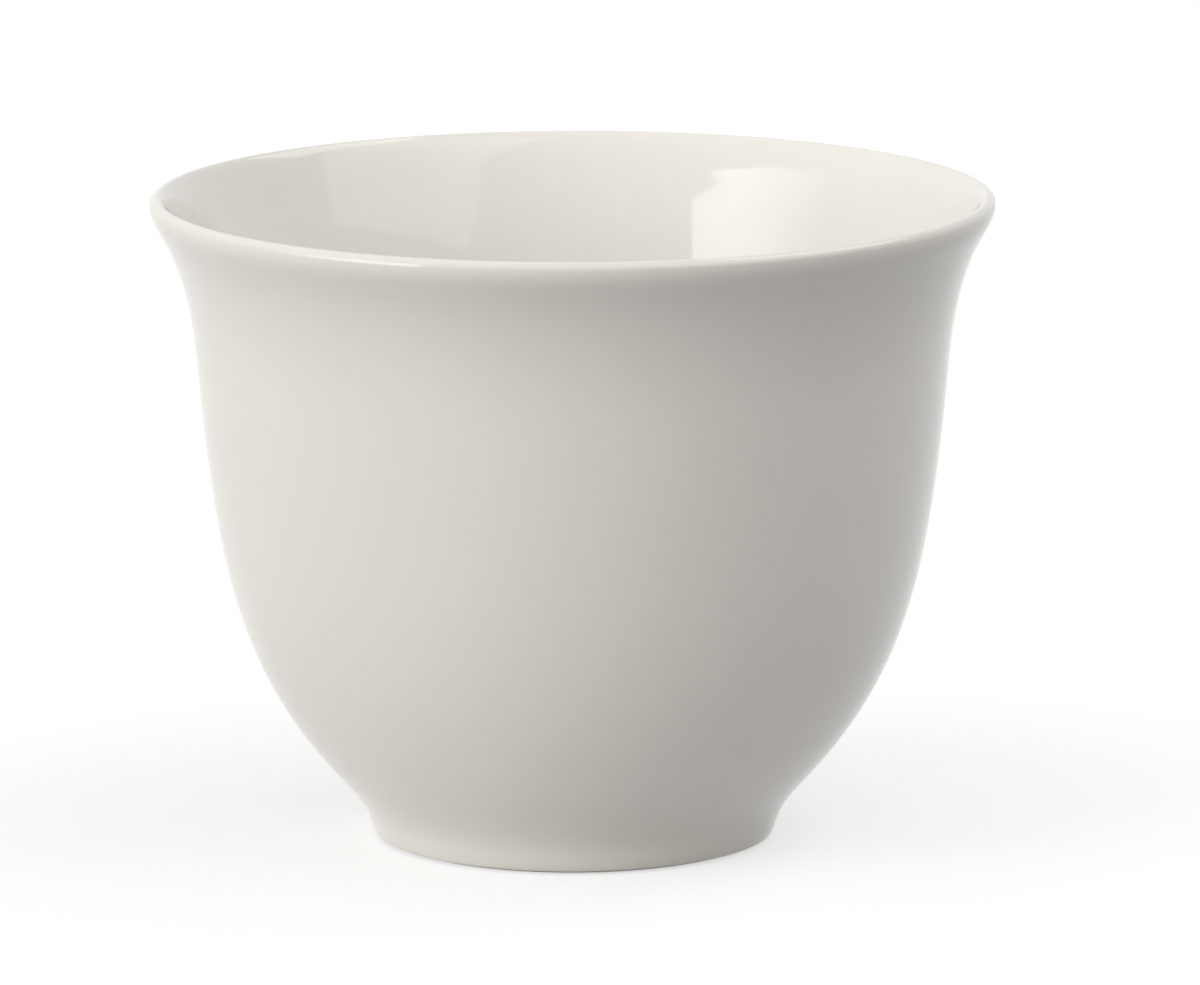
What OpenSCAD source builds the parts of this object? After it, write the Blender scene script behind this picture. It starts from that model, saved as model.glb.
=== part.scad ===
// Coffee cup without a handle, of glazed porcelain: a deep bowl on a narrow foot ring, with an
// S-shaped wall and a flared, rolled lip. It is a turned form, so every piece is one revolved outline.

/* [Cup] */
// Height from the table to the top of the lip
cup_h = 54; // [44:0.5:70]
// Diameter over the lip
rim_d = 70; // [60:0.5:90]
// Diameter over the foot, at the top of its rounded edge
foot_d = 33.4; // [28:0.2:42]

/* [Wall] */
// Thickness of the wall just under the lip, glaze included
neck_t = 2.3; // [1.8:0.1:3.2]
// Thickness of the wall where the bowl turns into the floor, glaze included
bowl_t = 3.1; // [2.4:0.1:4.4]
// Thickness of the floor, glaze included
floor_t = 4; // [3:0.1:6]

/* [Lip] */
// Width of the rounding on the outside of the lip
lip_w = 1.3; // [0.9:0.05:1.8]
// Height of the rounding on the outside of the lip
lip_h = 0.95; // [0.7:0.05:1.4]

/* [Foot ring] */
// Width of the flat that the cup stands on
stand_w = 1.8; // [1:0.1:2.6]
// Radius of the rounding at the foot's outer edge, in the porcelain
foot_edge_r = 1.15; // [0.9:0.05:1.5]
// Radius of the rounding at the foot ring's inner edge
ring_edge_r = 0.6; // [0.4:0.05:0.8]
// Depth of the recess inside the foot ring, measured on its glaze
recess_h = 2.2; // [1.8:0.1:3]
// Lean of the recess's side in degrees, narrowing upwards
recess_lean = 20; // [8:1:30]

/* [Glaze] */
// Thickness of the glaze
glaze_t = 0.25; // [0.15:0.05:0.4]
// Height above the table at which the outer glaze ends
glaze_stop_h = 0.3; // [0.2:0.05:0.6]
// Height above the table at which the glaze in the recess ends
base_stop_h = 0.9; // [0.7:0.05:1.2]

/* [Hidden] */

// Facets round the axis
facets = 144;
// Steps along one stretch of the wall, one small rounding and one long curve
wall_steps = 6;
edge_steps = 6;
curve_steps = 12;

// Stations of the wall's outside, from the foot up to the lip: how far up, how far out, and how
// steeply it opens there. They are shares of the wall's height, of its way out, and of the cup's
// whole way out over its height.
wall_shares = [
    [0, 0, 1.31],         // top of the foot's rounding
    [0.03, 0.032, 1.31],  // hollow above the foot
    [0.107, 0.204, 2.62], // where the bowl springs from the foot
    [0.2, 0.406, 1.87],   // turn of the bowl
    [0.335, 0.593, 1.04], // belly
    [0.5, 0.711, 0.51],   // top of the belly
    [0.72, 0.79, 0.26],   // waist
    [0.885, 0.859, 0.81], // start of the flare
    [0.96, 0.935, 1.24],  // neck under the lip
    [1, 1, 2.46],         // underside of the lip
];
last = len(wall_shares) - 1;
// Rows of the two stations between which the inside follows the outside
turn_index = 3;
neck_index = last - 1;
// Handles of the free curves, as shares of the way to the curve's other end
lip_in_shares = [0.43, 0.72];
floor_shares = [0.9, 0.6];
roof_shares = [0.75, 0.8];

// Way out over height of the whole cup
opening = (rim_d - foot_d) / 2 / cup_h;

// Outer edge of the foot. The glaze goes round the same centre as the porcelain's rounding
foot_r = foot_d / 2;
foot_lean = atan(wall_shares[0][2] * opening);
edge_r = foot_r - (foot_edge_r + glaze_t) * cos(foot_lean);
foot_z = foot_edge_r - (foot_edge_r + glaze_t) * sin(foot_lean);

// Lip: a quarter of an ellipse outside, from its underside up to the crest
crest_r = rim_d / 2 - lip_w;
lip_z = cup_h - lip_h;
under_angle = atan(wall_shares[last][2] * opening * lip_h / lip_w);
under_r = crest_r + lip_w * cos(under_angle);
under_z = lip_z - lip_h * sin(under_angle);

// Recess inside the foot ring, in the porcelain: a leaning side below a domed roof
ring_r = edge_r - stand_w;
side_r = ring_r - ring_edge_r * cos(recess_lean);
side_z = ring_edge_r - ring_edge_r * sin(recess_lean);
roof_z = recess_h + glaze_t;
spring_z = (side_z + roof_z) / 2;
spring_r = side_r - (spring_z - side_z) * tan(recess_lean);
floor_z = recess_h + floor_t;

// Points along an arc of an ellipse from angle a0 to a1, both ends included
function arc(centre, half_w, half_h, a0, a1, steps) =
    [for (i = [0:steps]) let (a = a0 + (a1 - a0) * i / steps)
        centre + [half_w * cos(a), half_h * sin(a)]];

// Points along a cubic curve with the handles p1 and p2, both ends included
function curve(p0, p1, p2, p3, steps) =
    [for (i = [0:steps]) let (t = i / steps, s = 1 - t)
        s * s * s * p0 + 3 * s * s * t * p1 + 3 * s * t * t * p2 + t * t * t * p3];

// The same line moved by d to its left. The points before and after it give its ends their direction
function beside(line, d, before, after) =
    let (all = concat([before], line, [after]))
    [for (i = [0:len(line) - 1]) let (way = all[i + 2] - all[i])
        line[i] + d * [-way[1], way[0]] / norm(way)];

function reversed(line) = [for (i = [len(line) - 1:-1:0]) line[i]];
function without_first(line) = [for (i = [1:len(line) - 1]) line[i]];
function mirrored(point, r) = [2 * r - point[0], point[1]];

// The wall's outside on the stretch from station k to the next, at the share t of that stretch:
// its radius, its height and the slope at which it opens
function wall_at(k, t) =
    let (
        a = wall_shares[k],
        b = wall_shares[k + 1],
        rise = (under_z - foot_z) * (b[0] - a[0]),
        r0 = foot_r + (under_r - foot_r) * a[1],
        r1 = foot_r + (under_r - foot_r) * b[1],
        s0 = a[2] * opening * rise,
        s1 = b[2] * opening * rise
    )
    [
        (2 * t * t * t - 3 * t * t + 1) * r0 + (t * t * t - 2 * t * t + t) * s0
            + (3 * t * t - 2 * t * t * t) * r1 + (t * t * t - t * t) * s1,
        foot_z + (under_z - foot_z) * a[0] + rise * t,
        ((6 * t * t - 6 * t) * (r0 - r1) + (3 * t * t - 4 * t + 1) * s0 + (3 * t * t - 2 * t) * s1)
            / rise
    ];

// Rises from 0 to 1 over the same range of u, level at both ends
function ease(u) = u * u * (3 - 2 * u);

// The wall's inside, square across the wall from the outside. The wall thins gently up to the neck
turn_z = wall_at(turn_index, 0)[1];
neck_z = wall_at(neck_index, 0)[1];
function inside_at(k, t) =
    let (
        p = wall_at(k, t),
        thickness = bowl_t + (neck_t - bowl_t) * ease((p[1] - turn_z) / (neck_z - turn_z))
    )
    [p[0], p[1]] + thickness * [-1, p[2]] / norm([1, p[2]]);

// Outside of the glaze, from under the foot's edge up to the underside of the lip
foot_edge = arc([edge_r, foot_edge_r], foot_edge_r + glaze_t, foot_edge_r + glaze_t,
    -90, -foot_lean, edge_steps);
outer_wall = [for (k = [0:last - 1], i = [1:wall_steps])
    let (p = wall_at(k, i / wall_steps)) [p[0], p[1]]];

// Round the lip: its outer rounding, then a longer curve down to the inside of the neck
neck_in = inside_at(neck_index - 1, 1);
neck_slope = wall_at(neck_index - 1, 1)[2];
lip = concat(
    without_first(arc([crest_r, lip_z], lip_w, lip_h, -under_angle, 90, 2 * edge_steps)),
    without_first(curve(
        [crest_r, cup_h],
        [crest_r - lip_in_shares[0] * (crest_r - neck_in[0]), cup_h],
        neck_in + lip_in_shares[1] * (cup_h - neck_in[1]) * [neck_slope, 1],
        neck_in,
        curve_steps
    ))
);

// Inside of the wall from the neck down to the turn of the bowl, then the floor in to the axis
turn_in = inside_at(turn_index, 0);
turn_slope = wall_at(turn_index, 0)[2];
inside = concat(
    [for (k = [neck_index - 1:-1:turn_index], i = [wall_steps - 1:-1:0])
        inside_at(k, i / wall_steps)],
    without_first(curve(
        turn_in,
        turn_in - floor_shares[0] * (turn_in[1] - floor_z) * [turn_slope, 1],
        [floor_shares[1] * turn_in[0], floor_z],
        [0, floor_z],
        curve_steps
    ))
);

// Face of the coat, and the line behind it where glaze and porcelain meet
coat_face = concat(foot_edge, outer_wall, lip, inside);
coat_back = beside(coat_face, glaze_t, mirrored(coat_face[1], edge_r),
    mirrored(coat_face[len(coat_face) - 2], 0));

// Roof and side of the recess in the porcelain, from the axis out, and the glaze's face below it
recess_back = concat(
    curve(
        [0, roof_z],
        [roof_shares[0] * spring_r, roof_z],
        [spring_r, spring_z] + roof_shares[1] * (roof_z - spring_z) * [-tan(recess_lean), 1],
        [spring_r, spring_z],
        curve_steps
    ),
    [[side_r, side_z]]
);
recess_face = beside(recess_back, -glaze_t, mirrored(recess_back[1], 0),
    [side_r, side_z] + [tan(recess_lean), -1] * side_z);

// Inner edge of the standing flat, from the side of the recess down to the table
ring_edge = arc([ring_r, ring_edge_r], ring_edge_r, ring_edge_r, 180 + recess_lean, 270, edge_steps);

// Revolves a closed outline, leaving out all of it that is lower than stop_h
module turned_above(stop_h, outline) {
    rotate_extrude($fn = facets)
    difference() {
        polygon(outline);
        translate([0, stop_h - cup_h]) square([rim_d, cup_h]);
    }
}

// Fired clay: wall, floor and foot ring in one piece, bare only under the foot
module porcelain_body() {
    color([0.93, 0.91, 0.87])
    rotate_extrude($fn = facets)
    polygon(concat(recess_back, without_first(ring_edge), coat_back));
}

// Glassy coat over the inside, the lip and the outside, down to just above the table
module glaze_coat() {
    color([0.89, 0.88, 0.85])
    turned_above(glaze_stop_h, concat(coat_face, reversed(coat_back)));
}

// Glaze in the recess, apart from the coat because the ring between them is wiped bare
module base_glaze() {
    color([0.87, 0.86, 0.83])
    turned_above(base_stop_h, concat(recess_face, reversed(recess_back)));
}

porcelain_body();
glaze_coat();
base_glaze();
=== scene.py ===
"""Coffee cup without a handle, of glazed porcelain, on a plain pale floor in soft studio light."""

import math

import bmesh
import bpy
import numpy as np
from mathutils import Matrix, Vector


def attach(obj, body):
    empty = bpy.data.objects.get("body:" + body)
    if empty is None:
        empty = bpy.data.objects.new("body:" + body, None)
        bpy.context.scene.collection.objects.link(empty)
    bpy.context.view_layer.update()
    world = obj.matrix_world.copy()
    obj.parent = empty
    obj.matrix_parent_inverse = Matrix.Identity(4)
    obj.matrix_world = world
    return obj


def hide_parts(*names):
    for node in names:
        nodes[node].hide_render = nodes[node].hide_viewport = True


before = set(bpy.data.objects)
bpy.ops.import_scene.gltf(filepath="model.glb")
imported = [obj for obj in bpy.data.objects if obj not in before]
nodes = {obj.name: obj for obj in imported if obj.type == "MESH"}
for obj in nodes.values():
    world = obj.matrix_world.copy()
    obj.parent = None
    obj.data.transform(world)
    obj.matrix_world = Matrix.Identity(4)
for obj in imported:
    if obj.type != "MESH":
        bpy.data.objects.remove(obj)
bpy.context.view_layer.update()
scene = bpy.context.scene

MM = 0.001

# Camera, found from the outline of the cup in the photograph: its place, how far it looks down
# and to the right, and its roll, in metres and radians
CAMERA_AT = (0.0, -0.84, 0.188346)
CAMERA_DOWN = 0.18764
CAMERA_RIGHT = 0.00263
CAMERA_ROLL = -0.00234
LENS = 308.35
SENSOR = 36.0

# Turned meshes: segments round the axis, widest turn and longest step along the outline, and how
# far points may lie from each other, or from the cut, to count as the same
SEGMENTS = 192
STEP_TURN = math.radians(4)
STEP_LENGTH = 0.6 * MM
SAME = 0.001 * MM
# A turn of the outline sharper than this is an edge, and one smaller than the other is none
EDGE_TURN = math.radians(35)
NO_TURN = math.radians(0.02)
# A chord this many times as long as both its neighbours is a straight stretch
STRAIGHT_RATIO = 2.5

# Lip, slimmer here than in the solids. Outside, the flare's curve starts at FLARE_FROM and ends at
# the rim's widest point, ROLL_HIGH below the crest and ROLL_WIDE out from it. Inside, the wall moves
# out from NECK_FROM on, by NECK_SHIFT at NECK_TO, where the crest's curve starts. Handles are shares
# of the rise, ROUND_HANDLE makes a quarter of an ellipse, and CREST_REACH is how far the crest's own
# handle goes in
FLARE_FROM = 46 * MM
FLARE_HANDLES = (0.68, 0.22)
ROLL_HIGH = 0.65 * MM
ROLL_WIDE = 0.7 * MM
ROUND_HANDLE = 0.5523
NECK_FROM = 36 * MM
NECK_TO = 51 * MM
NECK_SHIFT = 1.1 * MM
NECK_HANDLE = 0.8
CREST_REACH = 0.3 * MM
CURVE_POINTS = 60

# Glaze: its colour, the deeper one where it pools, and the heights between which that fades. Its
# roughness varies by a share of itself, with the waves
GLAZE = (0.9, 0.89, 0.87)
POOLED = (0.885, 0.872, 0.84)
COAT_POOL = (2 * MM, 9 * MM)
BASE_POOL = (0.9 * MM, 2 * MM)
GLAZE_ROUGH = 0.06
ROUGH_SPREAD = 0.1
GLAZE_IOR = 1.5
MOTTLE_SIZE = 14 * MM
MOTTLE_DETAIL = 3
MOTTLE_SHADE = 0.992
WAVE_SIZE = 11 * MM
WAVE_DEPTH = 0.012 * MM
# Levels of a noise between which most of its patches lie
NOISE_SPAN = (0.3, 0.7)
# Bare porcelain under the foot, rubbed grey in patches on the standing face
BISQUE = (0.86, 0.84, 0.79)
BISQUE_ROUGH = 0.75
GRAIN_SIZE = 0.18 * MM
GRAIN_DETAIL = 4
GRAIN_SHADE = 0.93
GRAIN_DEPTH = 0.02 * MM
RUBBED = (0.62, 0.6, 0.56)
RUBBED_ROUGH = 0.5
RUB_SIZE = 1.6 * MM
RUB_DETAIL = 3
RUB_SPAN = (0.45, 0.65)
RUB_HEIGHT = 0.12 * MM

# Floor: size, tones near the cup and further off, and the distances between which they fade. These
# tones are painted light:
# the floor is lighter near the cup and darker further off, as a pool of light round it. Where it is
# seen, it glows by what its tone lacks to FLOOR_WHITE
FLOOR_SIZE = 6
FLOOR_NEAR_PAINTED_LIGHT = 0.5
FLOOR_FAR_PAINTED_SHADE = 0.3
FLOOR_PAINTED_LIGHT_FADE = (0.025, 0.08)
FLOOR_WHITE = 1.1

# Tint of all the light
LIGHT_TINT = (1, 0.973, 0.92)
# Light of the surroundings: mean level, and how much it rises towards +X, +Y and +Z
WORLD_LEVEL = 0.44
WORLD_SLANT = (-0.29, -0.16, 0)
# Softbox on the left: a standing panel, its plane square to SIDE_AZIMUTH at SIDE_DISTANCE. It is
# SIDE_WIDE from its near end, which lies SIDE_NEAR behind that line, so in front of it where that
# is negative. Azimuths and elevations are in degrees
SIDE_AZIMUTH = -50
SIDE_DISTANCE = 1.0
SIDE_NEAR = -0.16
SIDE_WIDE = 0.9
SIDE_HIGH = 0.65
SIDE_BOTTOM = 0.05
SIDE_LEVEL = 4.9
# Its diffuser is less bright towards its far end and its bottom: shares of the level there, and the
# shares of its width from the far end and of its height from the top over which it fades
SIDE_FAR_LEVEL = 0.15
SIDE_FAR_FADE = (0, 0.8)
SIDE_LOW_LEVEL = 0.7
SIDE_LOW_FADE = (0.1, 0.9)
# Smaller square lamps high on the right, one in front and one behind
FRONT_AZIMUTH = 60
FRONT_ELEVATION = 50
FRONT_DISTANCE = 1.0
FRONT_WIDE = 0.84
FRONT_LEVEL = 1.0
BACK_AZIMUTH = 120
BACK_ELEVATION = 55
BACK_DISTANCE = 1.0
BACK_WIDE = 0.5
BACK_LEVEL = 2


def make_camera():
    """Adds the camera at the photograph's viewing angle."""
    down, right_turn, roll = CAMERA_DOWN, CAMERA_RIGHT, CAMERA_ROLL
    ahead = Vector((
        math.sin(right_turn) * math.cos(down),
        math.cos(right_turn) * math.cos(down),
        -math.sin(down),
    ))
    right = Vector((math.cos(right_turn), -math.sin(right_turn), 0))
    up = right.cross(ahead)
    rolled_right = right * math.cos(roll) + up * math.sin(roll)
    rolled_up = up * math.cos(roll) - right * math.sin(roll)
    data = bpy.data.cameras.new("camera")
    data.sensor_width = SENSOR
    data.lens = LENS
    camera = bpy.data.objects.new("camera", data)
    turn = Matrix((rolled_right, rolled_up, -ahead)).transposed().to_4x4()
    camera.matrix_world = Matrix.Translation(CAMERA_AT) @ turn
    scene.collection.objects.link(camera)
    scene.camera = camera


def cut_outline(node):
    """Outline of a turned CAD node, from axis to axis: radii and heights in the half plane at +X."""
    bm = bmesh.new()
    bm.from_mesh(nodes[node].data)
    bmesh.ops.remove_doubles(bm, verts=bm.verts, dist=SAME)
    everything = bm.verts[:] + bm.edges[:] + bm.faces[:]
    cut = bmesh.ops.bisect_plane(bm, geom=everything, dist=SAME, plane_co=(0, 0, 0),
        plane_no=(0, 1, 0))
    on_cut = [v for v in cut["geom_cut"] if isinstance(v, bmesh.types.BMVert)]
    bmesh.ops.remove_doubles(bm, verts=on_cut, dist=SAME)
    on_line = {v for v in bm.verts if abs(v.co.y) < SAME and v.co.x > -SAME}
    ways = {v: [e.other_vert(v) for e in v.link_edges if e.other_vert(v) in on_line] for v in on_line}
    ends = [v for v in on_line if len(ways[v]) == 1]
    line = [max(ends, key=lambda v: v.co.z)]
    before = None
    while True:
        onward = [v for v in ways[line[-1]] if v is not before]
        if not onward:
            break
        before = line[-1]
        line.append(onward[0])
    outline = np.array([(max(v.co.x, 0), v.co.z) for v in line])
    bm.free()
    return outline


def turns(line):
    """Angle by which the line turns at each of its inner points."""
    steps = np.diff(line, axis=0)
    way = np.arctan2(steps[:, 1], steps[:, 0])
    turn = np.abs(np.diff(way))
    return np.minimum(turn, 2 * math.pi - turn)


def without_straight_points(line):
    """The line without the inner points at which it doesn't turn."""
    kept = np.concatenate(([True], turns(line) > NO_TURN, [True]))
    return line[kept]


def stretches(line):
    """Splits the line at its edges and at both ends of each straight stretch."""
    lengths = np.linalg.norm(np.diff(line, axis=0), axis=1)
    sharp = [i + 1 for i, turn in enumerate(turns(line)) if turn > EDGE_TURN]
    for i in range(1, len(lengths) - 1):
        if lengths[i] > STRAIGHT_RATIO * max(lengths[i - 1], lengths[i + 1]):
            sharp += [i, i + 1]
    marks = sorted({0, len(line) - 1, *sharp})
    return [line[a:b + 1] for a, b in zip(marks, marks[1:])]


def smooth(points, mirror_start, mirror_end):
    """Finer points on the cubic spline through these. A mirrored end meets the axis squarely."""
    if len(points) == 2:
        return points
    flip = np.array([-1, 1])
    first = 0
    if mirror_start:
        points = np.concatenate((points[3:0:-1] * flip, points))
        first = 3
    last = len(points) - 1
    if mirror_end:
        points = np.concatenate((points, points[-2:-5:-1] * flip))
    steps = np.diff(points, axis=0)
    lengths = np.linalg.norm(steps, axis=1)
    slopes = steps / lengths[:, None]
    count = len(points)
    matrix = np.zeros((count, count))
    known = np.zeros((count, 2))
    matrix[0, :2] = 1, -1
    matrix[-1, -2:] = -1, 1
    for i in range(1, count - 1):
        matrix[i, i - 1:i + 2] = lengths[i - 1], 2 * (lengths[i - 1] + lengths[i]), lengths[i]
        known[i] = 6 * (slopes[i] - slopes[i - 1])
    bends = np.linalg.solve(matrix, known)
    turn = np.concatenate(([0], turns(points), [0]))
    fine = [points[first]]
    for i in range(first, last):
        widest = max(turn[i], turn[i + 1])
        parts = math.ceil(max(widest / STEP_TURN, lengths[i] / STEP_LENGTH, 1))
        for k in range(1, parts + 1):
            s = k / parts
            r = 1 - s
            fine.append(r * points[i] + s * points[i + 1]
                + ((r ** 3 - r) * bends[i] + (s ** 3 - s) * bends[i + 1]) * lengths[i] ** 2 / 6)
    return np.array(fine)


def smooth_outline(node, change=None):
    """Outline of a turned CAD node with its curves made smooth, its edges and straight stretches kept.
    A change is made to the node's own points, before they are smoothed."""
    points = without_straight_points(cut_outline(node))
    if change:
        points = change(points)
    parts = stretches(points)
    line = [parts[0][0]]
    for part in parts:
        fine = smooth(part, part is parts[0], part is parts[-1])
        line.extend(fine[1:])
    return np.array(line)


def curve(p0, p1, p2, p3):
    """Points along a cubic curve with the handles p1 and p2, both ends included."""
    t = np.linspace(0, 1, CURVE_POINTS)[:, None]
    s = 1 - t
    return s ** 3 * p0 + 3 * s * s * t * p1 + 3 * s * t * t * p2 + t ** 3 * p3


def radius_at(line, height):
    """Radius of a line that only rises, at one height or several."""
    return np.interp(height, line[:, 1], line[:, 0])


def way_at(line, height):
    """How far the line goes out and up at a height, for one unit up."""
    out = radius_at(line, height + STEP_LENGTH) - radius_at(line, height - STEP_LENGTH)
    return np.array([out / (2 * STEP_LENGTH), 1])


def slim_outside(outside):
    """The wall's outside with a longer flare and a smaller rounding under the crest."""
    widest, top = outside.max(axis=0)
    start = np.array([radius_at(outside, FLARE_FROM), FLARE_FROM])
    tip = np.array([widest, top - ROLL_HIGH])
    crest = np.array([widest - ROLL_WIDE, top])
    rise = tip[1] - start[1]
    flare = curve(start, start + FLARE_HANDLES[0] * rise * way_at(outside, FLARE_FROM),
        tip - np.array([0, FLARE_HANDLES[1] * rise]), tip)
    roll = curve(tip, tip + np.array([0, ROUND_HANDLE * ROLL_HIGH]),
        crest + np.array([ROUND_HANDLE * ROLL_WIDE, 0]), crest)
    return np.concatenate((outside[outside[:, 1] < FLARE_FROM], flare, roll[1:]))


def slim_inside(inside, crest):
    """The wall's inside moved out towards the lip, and up over the crest."""
    low = inside[inside[:, 1] < NECK_TO]
    share = np.clip((low[:, 1] - NECK_FROM) / (NECK_TO - NECK_FROM), 0, 1)
    low = low + NECK_SHIFT * (share * share * (3 - 2 * share))[:, None] * np.array([1, 0])
    neck = np.array([radius_at(inside, NECK_TO) + NECK_SHIFT, NECK_TO])
    rise = crest[1] - neck[1]
    over = curve(neck, neck + NECK_HANDLE * rise * way_at(inside, NECK_TO - STEP_LENGTH),
        crest - np.array([CREST_REACH, 0]), crest)
    return np.concatenate((low, over))


def slim_lip():
    """Function that moves points of the solids' outlines so that the wall ends in the slimmer lip."""
    coat = smooth_outline("glaze_coat")
    top = coat[:, 1].argmax()
    foot = top + coat[top:, 1].argmin()
    inside, outside = coat[:top + 1], coat[foot:top - 1:-1]
    new_outside = slim_outside(outside)
    new_inside = slim_inside(inside, new_outside[-1])

    def change(points):
        high = points[:, 1] > NECK_FROM
        radius, height = points[high].T
        inner, outer = radius_at(inside, height), radius_at(outside, height)
        new_inner, new_outer = radius_at(new_inside, height), radius_at(new_outside, height)
        share = (radius - inner) / np.maximum(outer - inner, SAME)
        moved = points.copy()
        moved[high, 0] = (1 - share) * new_inner + share * new_outer
        return moved

    return change


def turned(name, line):
    """Mesh object made by turning an outline that starts and ends on the axis."""
    angles = np.arange(SEGMENTS) * 2 * math.pi / SEGMENTS
    rings = line[1:-1]
    places = [(0, 0, line[0][1])]
    for r, z in rings:
        places.extend((r * math.cos(a), r * math.sin(a), z) for a in angles)
    places.append((0, 0, line[-1][1]))
    end = len(places) - 1
    faces = []
    for s in range(SEGMENTS):
        t = (s + 1) % SEGMENTS
        faces.append((0, 1 + s, 1 + t))
        for ring in range(len(rings) - 1):
            a = 1 + ring * SEGMENTS
            b = a + SEGMENTS
            faces.append((a + s, b + s, b + t, a + t))
        a = 1 + (len(rings) - 1) * SEGMENTS
        faces.append((a + s, end, a + t))
    mesh = bpy.data.meshes.new(name)
    mesh.from_pydata(places, [], faces)
    mesh.validate()
    mesh.shade_smooth()
    mesh.set_sharp_from_angle(angle=EDGE_TURN)
    piece = bpy.data.objects.new(name, mesh)
    scene.collection.objects.link(piece)
    return piece


def add_node(tree, kind, inputs=None, **settings):
    """Adds a shader node. An input is a plain value, or the output that is linked to it."""
    made = tree.nodes.new("ShaderNode" + kind)
    for name, value in settings.items():
        setattr(made, name, value)
    for key, value in (inputs or {}).items():
        if isinstance(value, bpy.types.NodeSocket):
            tree.links.new(value, made.inputs[key])
        else:
            made.inputs[key].default_value = value
    return made


def math_node(tree, operation, a, b):
    return add_node(tree, "Math", {0: a, 1: b}, operation=operation).outputs[0]


def fade(tree, value, low, high, at_low=0.0, at_high=1.0):
    """Output that goes smoothly from at_low to at_high while value goes from low to high."""
    inputs = {"Value": value, "From Min": low, "From Max": high, "To Min": at_low, "To Max": at_high}
    return add_node(tree, "MapRange", inputs, interpolation_type="SMOOTHSTEP").outputs["Result"]


def mix_colour(tree, share, a, b):
    """Output that goes from colour a to colour b with the share. The sockets are those for colours."""
    return add_node(tree, "Mix", {0: share, 6: a, 7: b}, data_type="RGBA").outputs[2]


def opaque(colour, shade=1.0):
    """The colour times a shade, with the fourth value that shader sockets need."""
    return (*(c * shade for c in colour), 1)


def new_material(name):
    material = bpy.data.materials.new(name)
    material.use_nodes = True
    tree = material.node_tree
    return material, tree, tree.nodes["Principled BSDF"]


def noise(tree, place, size, detail=2.0):
    """Noise from 0 to 1 whose patches are about as wide as size, in metres."""
    inputs = {"Vector": place, "Scale": 1 / size, "Detail": detail}
    return add_node(tree, "TexNoise", inputs).outputs["Fac"]


def add_bump(tree, shader, height, depth):
    """Gives the surface a relief of the given depth, in metres."""
    bump = add_node(tree, "Bump", {"Strength": 1, "Distance": depth, "Height": height})
    tree.links.new(bump.outputs["Normal"], shader.inputs["Normal"])


def glaze_material(name, colour, pooled, pool_from, pool_to):
    """Glossy glaze with a faint mottle and gentle waves, deeper in colour where it pools."""
    material, tree, shader = new_material(name)
    place = add_node(tree, "TexCoord").outputs["Object"]
    height = add_node(tree, "SeparateXYZ", {"Vector": place}).outputs["Z"]
    pool = fade(tree, height, pool_from, pool_to, 1, 0)
    mottle = fade(tree, noise(tree, place, MOTTLE_SIZE, MOTTLE_DETAIL), *NOISE_SPAN)
    tint = mix_colour(tree, mottle, opaque(colour), opaque(colour, MOTTLE_SHADE))
    tree.links.new(mix_colour(tree, pool, tint, opaque(pooled)), shader.inputs["Base Color"])
    rough_ends = (GLAZE_ROUGH * (1 - ROUGH_SPREAD), GLAZE_ROUGH * (1 + ROUGH_SPREAD))
    rough = fade(tree, noise(tree, place, WAVE_SIZE), *NOISE_SPAN, *rough_ends)
    tree.links.new(rough, shader.inputs["Roughness"])
    shader.inputs["IOR"].default_value = GLAZE_IOR
    wave = noise(tree, place, WAVE_SIZE, 0)
    add_bump(tree, shader, wave, WAVE_DEPTH)
    return material


def bisque_material(name):
    """Bare fired porcelain: matt, finely grained, greyed where the foot has rubbed on tables."""
    material, tree, shader = new_material(name)
    place = add_node(tree, "TexCoord").outputs["Object"]
    height = add_node(tree, "SeparateXYZ", {"Vector": place}).outputs["Z"]
    grain = noise(tree, place, GRAIN_SIZE, GRAIN_DETAIL)
    standing = fade(tree, height, 0, RUB_HEIGHT, 1, 0)
    patches = fade(tree, noise(tree, place, RUB_SIZE, RUB_DETAIL), *RUB_SPAN)
    rubbed = math_node(tree, "MULTIPLY", standing, patches)
    tint = mix_colour(tree, grain, opaque(BISQUE, GRAIN_SHADE), opaque(BISQUE))
    tree.links.new(mix_colour(tree, rubbed, tint, opaque(RUBBED)), shader.inputs["Base Color"])
    tree.links.new(fade(tree, rubbed, 0, 1, BISQUE_ROUGH, RUBBED_ROUGH), shader.inputs["Roughness"])
    add_bump(tree, shader, grain, GRAIN_DEPTH)
    return material


def seen_ray(tree):
    """Output that is 1 for rays by which a thing is seen, also in a mirror image, and 0 for light."""
    path = add_node(tree, "LightPath")
    seen = path.outputs["Is Camera Ray"]
    for kind in ("Is Glossy Ray", "Is Transmission Ray"):
        seen = math_node(tree, "MAXIMUM", seen, path.outputs[kind])
    return seen


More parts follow.
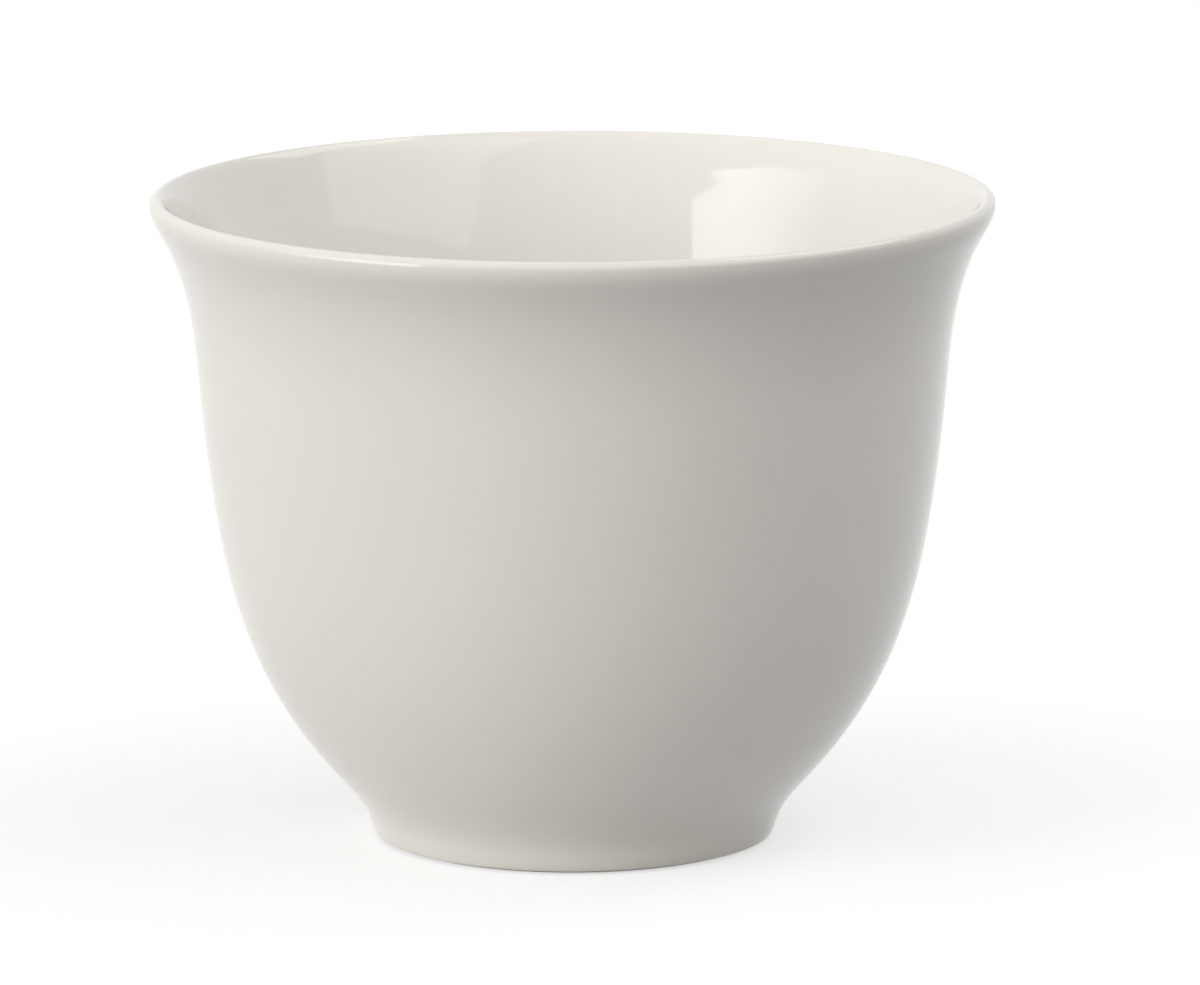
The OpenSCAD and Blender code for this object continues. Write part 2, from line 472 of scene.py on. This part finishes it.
def make_floor():
    """Pale floor, painted lighter near the cup and darker further off, as a pool of light. It is seen
    as white, with the cup's shadow.
    """
    bpy.ops.mesh.primitive_plane_add(size=FLOOR_SIZE)
    floor = bpy.context.object
    floor.name = "floor"
    material, tree, shader = new_material("floor")
    tree.nodes.remove(shader)
    place = add_node(tree, "TexCoord").outputs["Object"]
    distance = add_node(tree, "VectorMath", {0: place}, operation="LENGTH").outputs["Value"]
    # Painted light: the floor's colour is lighter near the cup and darker further off, like a pool of
    # light round it
    painted_light_tone = fade(tree, distance, *FLOOR_PAINTED_LIGHT_FADE, FLOOR_NEAR_PAINTED_LIGHT, FLOOR_FAR_PAINTED_SHADE)
    colour = add_node(tree, "CombineColor", {0: painted_light_tone, 1: painted_light_tone, 2: painted_light_tone}).outputs[0]
    glow = math_node(tree, "MULTIPLY", seen_ray(tree), math_node(tree, "SUBTRACT", FLOOR_WHITE, painted_light_tone))
    diffuse = add_node(tree, "BsdfDiffuse", {"Color": colour})
    emission = add_node(tree, "Emission", {"Strength": glow})
    both = add_node(tree, "AddShader", {0: diffuse.outputs[0], 1: emission.outputs[0]})
    tree.links.new(both.outputs[0], tree.nodes["Material Output"].inputs["Surface"])
    floor.data.materials.append(material)


def make_world():
    """White backdrop. As light it is dimmer, and brighter from the left and the front."""
    world = bpy.data.worlds.new("studio")
    scene.world = world
    world.use_nodes = True
    tree = world.node_tree
    tree.nodes.clear()
    way = add_node(tree, "TexCoord").outputs["Generated"]
    slant = add_node(tree, "VectorMath", {0: way, 1: WORLD_SLANT}, operation="DOT_PRODUCT")
    level = math_node(tree, "ADD", slant.outputs["Value"], WORLD_LEVEL)
    light = add_node(tree, "Background", {"Color": opaque(LIGHT_TINT), "Strength": level})
    backdrop = add_node(tree, "Background", {"Color": (1, 1, 1, 1), "Strength": 1})
    ends = {0: seen_ray(tree), 1: light.outputs[0], 2: backdrop.outputs[0]}
    either = add_node(tree, "MixShader", ends)
    add_node(tree, "OutputWorld", {"Surface": either.outputs[0]})


def direction(azimuth, elevation):
    """Unit vector from angles in degrees. Azimuth 0 is towards the camera, 90 to its right."""
    a, e = math.radians(azimuth), math.radians(elevation)
    return Vector((math.sin(a) * math.cos(e), -math.cos(a) * math.cos(e), math.sin(e)))


def panel_light(name, centre, towards, width, height, level):
    """Adds a soft rectangular light whose face is as bright as level, where white is 1. Its size and
    level give its power."""
    data = bpy.data.lights.new(name, "AREA")
    data.shape = "RECTANGLE"
    data.size = width
    data.size_y = height
    data.energy = math.pi * width * height * level
    data.color = LIGHT_TINT
    lamp = bpy.data.objects.new(name, data)
    lamp.location = centre
    lamp.rotation_mode = "QUATERNION"
    lamp.rotation_quaternion = (-Vector(towards)).to_track_quat("Z", "Y")
    lamp.visible_camera = False
    scene.collection.objects.link(lamp)
    return lamp


def make_softbox():
    """Standing softbox on the left, less bright towards its far end and its bottom."""
    ahead = direction(SIDE_AZIMUTH, 0)
    aside = direction(SIDE_AZIMUTH - 90, 0)
    above_floor = Vector((0, 0, SIDE_BOTTOM + SIDE_HIGH / 2))
    centre = ahead * SIDE_DISTANCE + aside * (SIDE_NEAR + SIDE_WIDE / 2) + above_floor
    softbox = panel_light("side_softbox", centre, -ahead, SIDE_WIDE, SIDE_HIGH, SIDE_LEVEL)
    softbox.data.use_nodes = True
    tree = softbox.data.node_tree
    place = add_node(tree, "NewGeometry").outputs["Parametric"]
    across = add_node(tree, "SeparateXYZ", {"Vector": place})
    far = fade(tree, across.outputs["X"], *SIDE_FAR_FADE, SIDE_FAR_LEVEL, 1)
    low = fade(tree, across.outputs["Y"], *SIDE_LOW_FADE, 1, SIDE_LOW_LEVEL)
    strength = math_node(tree, "MULTIPLY", far, low)
    tree.links.new(strength, tree.nodes["Emission"].inputs["Strength"])


def make_lamp(name, azimuth, elevation, distance, wide, level):
    """Square lamp that faces the cup from a direction."""
    way = direction(azimuth, elevation)
    panel_light(name, way * distance, -way, wide, wide, level)


make_camera()
make_floor()
make_world()
make_softbox()
make_lamp("front_lamp", FRONT_AZIMUTH, FRONT_ELEVATION, FRONT_DISTANCE, FRONT_WIDE, FRONT_LEVEL)
make_lamp("back_lamp", BACK_AZIMUTH, BACK_ELEVATION, BACK_DISTANCE, BACK_WIDE, BACK_LEVEL)

finishes = {
    "porcelain_body": ("bisque", bisque_material("bisque")),
    "glaze_coat": ("coat_glaze", glaze_material("coat_glaze", GLAZE, POOLED, *COAT_POOL)),
    "base_glaze": ("base_glaze", glaze_material("base_glaze", GLAZE, POOLED, *BASE_POOL)),
}
lip = slim_lip()
for node, (slot, material) in finishes.items():
    piece = turned("fine_" + node, smooth_outline(node, lip))
    piece.data.materials.append(material)
    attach(piece, "root")
    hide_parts(node)

scene.view_settings.view_transform = "Standard"
